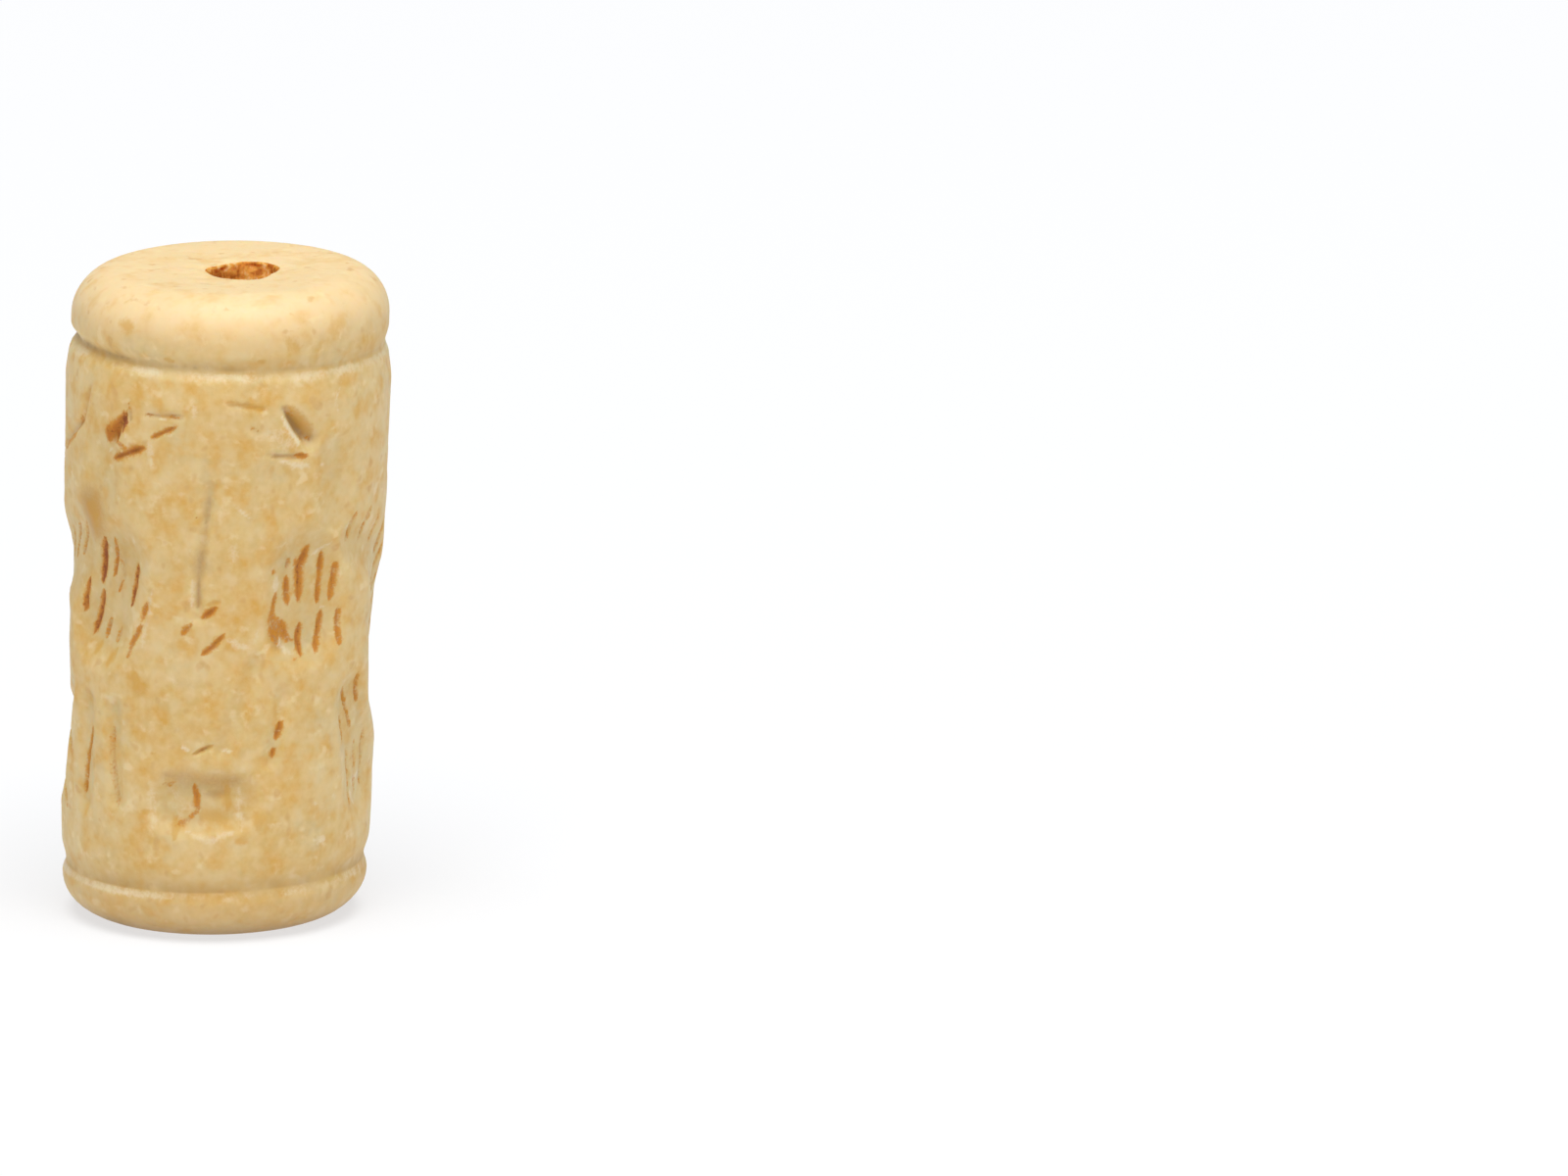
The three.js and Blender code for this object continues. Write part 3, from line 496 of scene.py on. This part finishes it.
def seal_surface():
    """The skin as rows of rings: out from the lower mouth of the bore, up the outside, in to the upper
    mouth and back down the bore, so that the last ring joins the first. A ring is a radius less its
    inward part at every angle, round a centre line that leans evenly with height. Returns each point's
    place and its finish: how deep it is carved, its marks (painted shade and painted highlights among
    them), whether it is in the bore, and how strong the painted shade at the bottom of a groove is."""
    degrees = np.linspace(0, 360, COLUMNS, endpoint=False)[None, :]
    side = np.sin(np.radians(degrees))
    rows = []

    def ring(radius, height, shift=(0.0, 0.0), inward=0.0, **finish):
        parts = (radius - inward, height, *shift, *(finish.get(title, 0.0) for title in FINISH))
        shape = np.broadcast(degrees, *parts).shape
        rows.append([np.broadcast_to(part, shape) for part in parts])

    def bore_radius(up):
        """Waist radius plus the widening, which grows towards both ends and opens out in a funnel there,
        out of round by two sine waves of the angle."""
        wave = np.sin(np.radians(3 * degrees + 40)) + 0.5 * np.sin(np.radians(5 * degrees - 60))
        from_mouth = SEAL_HEIGHT * np.minimum(up, 1 - up)
        open_here = mix(0.35 * np.abs(2 * up - 1), 1, np.clip(1 - from_mouth / FUNNEL_DEPTH, 0, 1))
        return mix(WAIST_RADIUS, MOUTH_RADIUS, open_here) + BORE_UNEVENNESS * wave * open_here

    def cap_ochre(height):
        return mark_fields("ochre", degrees, (height - lower) / (upper - lower), 0)[0]

    def steps(count):
        return np.linspace(0, 1, count, endpoint=False)[:, None]

    # the underside, out from the bore
    t = steps(5)
    ring(
        mix(bore_radius(0.0) + LIP_ROUNDING, FOOT_RADIUS - FOOT_INWARD, t), 0.0,
        [mix(offset, 0, t) for offset in BORE_BOTTOM],
    )
    # the rounded foot
    turn = steps(12) * math.pi / 2
    height = FOOT_ROUNDING * (1 - np.cos(turn))
    wear = FOOT_UNEVENNESS * ease(height, 0, 1) * lumps(degrees, height, SWELLING_SIZE, 1)
    ring(FOOT_RADIUS - FOOT_INWARD * (1 - np.sin(turn)), height, inward=wear)
    # down into the lower groove
    lower = LOWER_GROOVE_HEIGHT - LOWER_GROOVE_RISE * side
    t = steps(7)
    height = mix(FOOT_ROUNDING, lower, t)
    wear = FOOT_UNEVENNESS * (1 - t) * lumps(degrees, height, SWELLING_SIZE, 1)
    # a painted highlight along the foot's rim below the groove, in the pale marks' colour
    rim_highlight = ease(t, 0, 0.5) * (1 - t**5) * (0.55 + 0.5 * lumps(degrees, height, 1.5, 15))
    ring(FOOT_RADIUS - LOWER_GROOVE_DEPTH * ease(t), height, inward=wear, chalk=rim_highlight)
    # the picture band
    edge = UPPER_GROOVE_REACH / BAND_HEIGHT
    share = np.concatenate([
        np.linspace(0, edge, 6, endpoint=False),
        np.linspace(edge, 1 - edge, 188, endpoint=False),
        np.linspace(1 - edge, 1, 7),
    ])[:, None]
    upper = UPPER_GROOVE_HEIGHT - UPPER_GROOVE_RISE * side
    # painted shade in the upper groove, heavier on the left and lighter on the right
    groove_shade_weight = 0.8 - 0.5 * side
    height = mix(lower, upper, share)
    from_lower, from_upper = share * BAND_HEIGHT, (1 - share) * BAND_HEIGHT
    waver = EDGE_WAVER * lumps(degrees, height, WAVER_SIZE, 12)
    hollowed = hollow_depth(degrees, share)
    wear = 0.05 * lumps(degrees, height, 3.4, 2) + 0.03 * lumps(degrees, height, 1.4, 3)
    wear = wear + 0.01 * lumps(degrees, height, 0.5, 4)
    wear = wear + (BELLY_RADIUS - FOOT_RADIUS) * (1 - ease(from_lower, 0, LOWER_WEAR))
    wear = wear + (SHOULDER_RADIUS - CAP_RADIUS) * (1 - ease(from_upper, 0, UPPER_WEAR))
    groove = LOWER_GROOVE_DEPTH * (1 - ease(from_lower, 0, LOWER_GROOVE_REACH))
    upper_depth = UPPER_GROOVE_DEPTH * (1 - 0.4 * side)
    groove = groove + upper_depth * (1 - ease(from_upper, 0, UPPER_GROOVE_REACH))
    rust, rust_strength = mark_fields("rust", degrees, share, waver)
    chalk, ochre, dirt = (
        np.prod(mark_fields(kind, degrees, share, waver), axis=0) for kind in ("chalk", "ochre", "dirt")
    )
    # a painted highlight along the lip below the upper groove, in the pale marks' colour
    lip_highlight = (1 - ease(from_upper, 0.35, 0.95)) * ease(from_upper, 0.1, 0.3)
    lip_highlight = lip_highlight * (0.6 + 0.5 * lumps(degrees, height, 1.3, 13))
    # the band, with painted shade along the bottom of both grooves
    ring(
        mix(BELLY_RADIUS, SHOULDER_RADIUS, share), height,
        inward=hollowed + cut_depth(degrees, share, waver) + groove + wear,
        carved=hollowed / BODY_DEPTH,
        rust=rust, rust_strength=rust_strength, ochre=ochre, dirt=dirt, chalk=np.maximum(chalk, lip_highlight),
        crevice=np.maximum(0.6 * (1 - ease(from_lower, 0, 0.8)), groove_shade_weight * (1 - ease(from_upper, 0, 0.2))),
    )
    # up out of the upper groove in a rounded nose
    t = steps(12)[1:]
    height = mix(upper, SEAL_HEIGHT - CAP_ROUNDING, t)
    nose = upper_depth * (1 - ease(t, 0, 0.6))
    wear = CAP_UNEVENNESS * t * lumps(degrees, height, SWELLING_SIZE, 5)
    # painted shade under the cap's nose, fading upwards from the groove
    ring(CAP_RADIUS - nose, height, inward=wear, ochre=cap_ochre(height), crevice=groove_shade_weight * (1 - t) ** 3)
    # the cap's rounded edge
    turn = steps(15) * math.pi / 2
    height = SEAL_HEIGHT - CAP_ROUNDING * (1 - np.sin(turn))
    wear = CAP_UNEVENNESS * np.cos(turn) * lumps(degrees, height, SWELLING_SIZE, 5)
    radius = CAP_RADIUS - CAP_ROUNDING * (1 - np.cos(turn))
    ring(radius, height, inward=wear, ochre=cap_ochre(height))
    # the top, in to the bore, whose mouth is chipped wider at the far right
    t = steps(12)
    chip = MOUTH_CHIP * np.clip(np.cos(np.radians(degrees - CHIP_DIRECTION)), 0, 1) ** 2
    crumbled = 0.03 * lumps(3 * degrees, np.full_like(degrees, 9), 1, 7)
    mouth = bore_radius(1.0) + chip + LIP_ROUNDING + crumbled
    dish = 0.04 * ease(t) * (1 + lumps(degrees, 9 * t, 2, 6))
    shift = [mix(0, offset, t) for offset in BORE_TOP]
    ring(mix(CAP_RADIUS - CAP_ROUNDING, mouth, t), SEAL_HEIGHT - dish, shift, bore=0.4 * ease(t, 0.8, 1))
    # the lip of the mouth, the bore, and the lip of the lower mouth
    turn = steps(4) * math.pi / 2
    drop = LIP_DROP + LIP_ROUNDING * (1 - np.cos(turn))
    ring(mouth - LIP_ROUNDING * np.sin(turn), SEAL_HEIGHT - drop, BORE_TOP, bore=ease(turn, -0.8, 1.2))
    near_mouth, below = np.linspace(0, 0.09, 24, endpoint=False), np.linspace(0.09, 1, 8)[:-1]
    down = np.concatenate([near_mouth, below])[:, None]
    depth = down * SEAL_HEIGHT
    rough = 0.06 * lumps(degrees, 3 * depth, 0.9, 8) + 0.05 * lumps(2 * degrees, 6 * depth, 0.9, 9)
    ring(
        bore_radius(1 - down) + chip * np.clip(1 - depth / FUNNEL_DEPTH, 0, 1) - rough,
        mix(SEAL_HEIGHT - LIP_DROP - LIP_ROUNDING, LIP_ROUNDING, down),
        [mix(top, bottom, down) for top, bottom in zip(BORE_TOP, BORE_BOTTOM)], bore=1.0,
    )
    turn = steps(4) * math.pi / 2
    ring(
        bore_radius(0.0) + LIP_ROUNDING * (1 - np.cos(turn)), LIP_ROUNDING * (1 - np.sin(turn)),
        BORE_BOTTOM, bore=1 - ease(turn, 0.2, 1.4),
    )

    radius, height, shift_x, shift_y, *finish = [np.concatenate(part) for part in zip(*rows)]
    angle = np.radians(degrees)
    x = radius * np.sin(angle) + shift_x + LEAN * (height / SEAL_HEIGHT - 0.5)
    y = -radius * np.cos(angle) + shift_y
    return np.stack([x, y, height], axis=-1) * MM, finish


def make_seal(name, material):
    points, finish = seal_surface()
    rows, columns, _ = points.shape
    corner = np.arange(rows * columns).reshape(rows, columns)
    right, above = np.roll(corner, -1, axis=1), np.roll(corner, -1, axis=0)
    faces = np.stack([corner, right, np.roll(right, -1, axis=0), above], axis=-1).reshape(-1, 4)
    mesh = bpy.data.meshes.new(name)
    mesh.from_pydata(points.reshape(-1, 3).tolist(), [], faces.tolist())
    mesh.polygons.foreach_set("use_smooth", np.ones(len(faces), bool))
    for title, values in zip(FINISH, finish):
        attribute = mesh.attributes.new(title, "FLOAT", "POINT")
        attribute.data.foreach_set("value", np.ascontiguousarray(values, np.float32).ravel())
    mesh.materials.append(material)
    piece = bpy.data.objects.new(name, mesh)
    bpy.context.collection.objects.link(piece)
    return piece


# The stone

class Field:
    """A number that varies over the surface. Arithmetic on it adds Math nodes."""

    def __init__(self, shader, socket):
        self.shader, self.socket = shader, socket

    def _math(self, operation, first, second):
        return self.shader.node("Math", {"operation": operation}, {0: first, 1: second})

    def __add__(self, other):
        return self._math("ADD", self, other)

    __radd__ = __add__

    def __sub__(self, other):
        return self._math("SUBTRACT", self, other)

    def __rsub__(self, other):
        return self._math("SUBTRACT", other, self)

    def __mul__(self, other):
        return self._math("MULTIPLY", self, other)

    __rmul__ = __mul__


class Shader:
    """A material's nodes."""

    def __init__(self, name):
        self.material = bpy.data.materials.new(name)
        self.material.use_nodes = True
        self.tree = self.material.node_tree
        self.tree.nodes.clear()

    def node(self, kind, settings=None, values=None, out=0):
        """Adds a node: its settings first, then the values or links of its sockets. Gives one output."""
        made = self.tree.nodes.new("ShaderNode" + kind)
        for key, value in (settings or {}).items():
            setattr(made, key, value)
        for key, value in (values or {}).items():
            if isinstance(value, Field):
                self.tree.links.new(value.socket, made.inputs[key])
            else:
                made.inputs[key].default_value = value
        return None if out is None else Field(self, made.outputs[out])

    def attribute(self, title):
        return self.node("Attribute", {"attribute_name": title}, out="Fac")

    def moved(self, place, offset, stretch=(1, 1, 1)):
        return self.node("Mapping", None, {"Vector": place, "Location": offset, "Scale": stretch})

    def noise(self, place, size, detail):
        """Cloudy noise from 0 to 1, with features about size millimetres across."""
        values = {"Vector": place, "Scale": 1 / (size * MM), "Detail": detail, "Roughness": 0.55}
        return self.node("TexNoise", None, values)

    def step(self, value, low, high):
        """0 below low and 1 above high, with a soft rise between."""
        values = {"Value": value, "From Min": low, "From Max": high}
        return self.node("MapRange", {"interpolation_type": "SMOOTHSTEP"}, values)

    def blend(self, share, first, second):
        return self.node("Mix", {"data_type": "RGBA"}, {0: share, 6: first, 7: second}, out=2)

    def finish(self, surface):
        self.node("OutputMaterial", None, {"Surface": surface}, out=None)


def srgb(red, green, blue):
    """A colour given as 0 to 255, as linear light."""
    return tuple(((c / 255 + 0.055) / 1.055) ** 2.4 for c in (red, green, blue)) + (1.0,)


def stone_material():
    shader = Shader("cream_stone")
    place = shader.node("TexCoord", out="Object")
    carved, bore, crevice = (shader.attribute(title) for title in ("carved", "bore", "crevice"))

    # noises, from the broadest to the finest
    clouds = shader.noise(place, 5.5, detail=1.5)
    tint = shader.noise(shader.moved(place, (0.3, 0.1, 0.2)), 2.4, detail=2)
    patches = shader.noise(shader.moved(place, (0.9, 0.5, 0.7)), 1.1, detail=2)
    flecks = shader.noise(shader.moved(place, (0.1, 0.6, 0.9), (1, 1, 1.3)), 0.9, detail=1)
    spots = shader.noise(shader.moved(place, (0.6, 0.8, 0.3)), 0.6, detail=0)
    grain = shader.noise(shader.moved(place, (0.7, 0.4, 0.1)), 0.4, detail=3)
    fine = shader.noise(shader.moved(place, (0.2, 0.9, 0.5)), 0.13, detail=1)

    # honey and cream clouds, orange and yellow patches, pale flecks and a few brown spots
    height = shader.node("SeparateXYZ", None, {0: place}, out=2)
    worn = shader.step(height, 29 * MM, 31 * MM)
    colour = shader.blend(shader.step(clouds, 0.3, 0.7), srgb(232, 202, 140), srgb(226, 190, 118))
    colour = shader.blend(worn * 0.65, colour, srgb(250, 225, 184))
    stained = 1 - worn * 0.55
    colour = shader.blend(shader.step(tint, 0.5, 0.75) * 0.6 * stained, colour, srgb(230, 186, 106))
    colour = shader.blend(shader.step(tint, 0.5, 0.25) * 0.6 * stained, colour, srgb(218, 196, 146))
    colour = shader.blend(shader.step(patches, 0.46, 0.74) * 0.8 * stained, colour, srgb(226, 172, 70))
    colour = shader.blend(shader.step(patches, 0.5, 0.26) * 0.55, colour, srgb(238, 216, 168))
    pale = shader.step(flecks + (grain - 0.5) * 0.5, 0.58, 0.82)
    colour = shader.blend(pale * 0.6, colour, srgb(248, 228, 184))
    brown = shader.step(spots + (grain - 0.5) * 0.4, 0.7, 0.86)
    colour = shader.blend(brown * 0.5, colour, srgb(206, 148, 70))
    colour = shader.blend(shader.step(grain, 0.3, 0.7) * 0.4, colour, srgb(242, 212, 150))
    colour = shader.blend(carved * 0.3, colour, srgb(212, 190, 140))
    # painted shade: the foot darkens towards its lower edge, and most where it turns under
    colour = shader.blend(shader.step(height, 4.5 * MM, 2 * MM) * 0.3, colour, srgb(206, 166, 102))
    colour = shader.blend(shader.step(height, 1.6 * MM, 0) * 0.75, colour, srgb(138, 100, 54))

    # the marks, with ragged edges; a deposit is darkest in its middle and where it is strongest
    ragged = (grain - 0.5) * 0.9 + (fine - 0.5) * 0.6
    # painted shade: a soft brown on the shaded walls of cuts and hollows
    dirt = shader.step(shader.attribute("dirt") + ragged * 0.5, 0.0, 1.0)
    colour = shader.blend(dirt * 0.6, colour, srgb(176, 122, 60))
    ochre = shader.step(shader.attribute("ochre") + ragged * 0.8 + (patches - 0.5), 0.1, 0.9)
    colour = shader.blend(ochre * 0.55, colour, srgb(218, 164, 58))
    # pale chips and scratches, and painted highlights on lips that face up
    chalk = shader.step(shader.attribute("chalk") + ragged, 0.15, 1.15)
    colour = shader.blend(chalk * 0.75, colour, srgb(246, 230, 198))
    strength = shader.attribute("rust_strength")
    near = shader.attribute("rust") + ragged * 0.8
    rust = shader.step(near, 0.1, 0.65) * shader.step(strength + ragged * 1.6, 0.05, 0.95)
    speckle = shader.step(fine * 0.5 + grain * 0.5, 0.38, 0.62)
    rust_colour = shader.blend(speckle, srgb(190, 102, 0), srgb(216, 142, 28))
    dark = shader.step(strength * near + ragged * 1.2, 0.8, 1.6)
    rust_colour = shader.blend(shader.step(near, 0.9, 0.2), rust_colour, srgb(220, 162, 74))
    rust_colour = shader.blend(dark, rust_colour, srgb(152, 62, 0))
    colour = shader.blend(rust * 0.9, colour, rust_colour)
    # painted shade at the bottom of the grooves and under the cap's nose, broken up by the tint noise
    crevice = crevice * shader.step(tint + (grain - 0.5) * 0.4, 0.34, 0.6)
    colour = shader.blend(crevice * 0.6, colour, srgb(178, 134, 70))
    bore_colour = shader.blend(shader.step(grain, 0.36, 0.56), srgb(184, 100, 10), srgb(226, 154, 56))
    bore_colour = shader.blend(shader.step(grain, 0.54, 0.7) * 0.6, bore_colour, srgb(250, 220, 160))
    colour = shader.blend(shader.step(bore + ragged * (1 - bore), 0.3, 0.7), colour, bore_colour)

    rough = 0.46 + grain * 0.2 + rust * 0.3 + bore * 0.3
    relief = grain * 0.3 + fine * 0.1 + rust * fine * 0.5 + chalk * 0.1
    normal = shader.node("Bump", None, {"Strength": 0.5, "Distance": 0.1 * MM, "Height": relief})

    stone = {"Base Color": colour, "Roughness": rough, "Normal": normal}
    stone.update({"IOR": 1.5, "Subsurface Weight": 0.5, "Subsurface Scale": 1.0 * MM})
    stone["Subsurface Radius"] = (1.0, 0.55, 0.25)
    surface = shader.node("BsdfPrincipled", None, stone)
    shader.finish(surface)
    return shader.material


standing_bird_left()
standing_bird_right()
spread_bird()
emblems()
cap_stains()
seal = make_seal("engraved_seal", stone_material())
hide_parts("cylinder_seal")
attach(seal, "root")


# The studio

# The photograph's frame, and where the seal stands in it
FRAME_WIDTH_PX = 1600
PX_PER_MM = 21.0
SEAL_CENTRE_PX = 227.0
CAMERA_DISTANCE = 1000 * MM
CAMERA_ELEVATION = math.radians(14)
SENSOR = 36.0


def add_camera():
    field = FRAME_WIDTH_PX / PX_PER_MM * MM
    across = (FRAME_WIDTH_PX / 2 - SEAL_CENTRE_PX) / PX_PER_MM * MM
    data = bpy.data.cameras.new("camera")
    data.sensor_width = SENSOR
    data.lens = SENSOR * CAMERA_DISTANCE / field
    data.clip_end = 10
    camera = bpy.data.objects.new("camera", data)
    bpy.context.collection.objects.link(camera)
    back, rise = math.cos(CAMERA_ELEVATION), math.sin(CAMERA_ELEVATION)
    camera.location = (across, -CAMERA_DISTANCE * back, SEAL_HEIGHT / 2 * MM + CAMERA_DISTANCE * rise)
    camera.rotation_euler = (math.pi / 2 - CAMERA_ELEVATION, 0, 0)
    bpy.context.scene.camera = camera


def add_light(name, direction, distance, size, power):
    """A square area light that faces the middle of the seal from the given direction."""
    data = bpy.data.lights.new(name, "AREA")
    data.shape = "SQUARE"
    data.size, data.energy = size, power
    light = bpy.data.objects.new(name, data)
    bpy.context.collection.objects.link(light)
    towards = Vector(direction).normalized()
    light.location = Vector((0, 0, SEAL_HEIGHT / 2 * MM)) + towards * distance
    light.rotation_euler = towards.to_track_quat("Z", "Y").to_euler()


def add_floor():
    size = 3.0
    data = bpy.data.meshes.new("floor")
    corners = [(-size, -size, 0), (size, -size, 0), (size, size, 0), (-size, size, 0)]
    data.from_pydata(corners, [], [(0, 1, 2, 3)])
    shader = Shader("pale_floor")
    pale = {"Base Color": (0.3, 0.3, 0.3, 1), "Roughness": 1.0, "Specular IOR Level": 0.0}
    pale.update({"Emission Color": (0.97, 0.98, 1, 1), "Emission Strength": 0.68})
    shader.finish(shader.node("BsdfPrincipled", None, pale))
    data.materials.append(shader.material)
    floor = bpy.data.objects.new("floor", data)
    bpy.context.collection.objects.link(floor)


def add_studio():
    scene = bpy.context.scene
    world = bpy.data.worlds.new("studio")
    world.use_nodes = True
    world.node_tree.nodes["Background"].inputs["Color"].default_value = (1, 1, 1, 1)
    world.node_tree.nodes["Background"].inputs["Strength"].default_value = 0.18
    scene.world = world
    scene.view_settings.view_transform = "Standard"
    add_light("key", (0.03, -0.25, 0.9), distance=1.8, size=1.5, power=40)
    add_floor()
    add_camera()


add_studio()
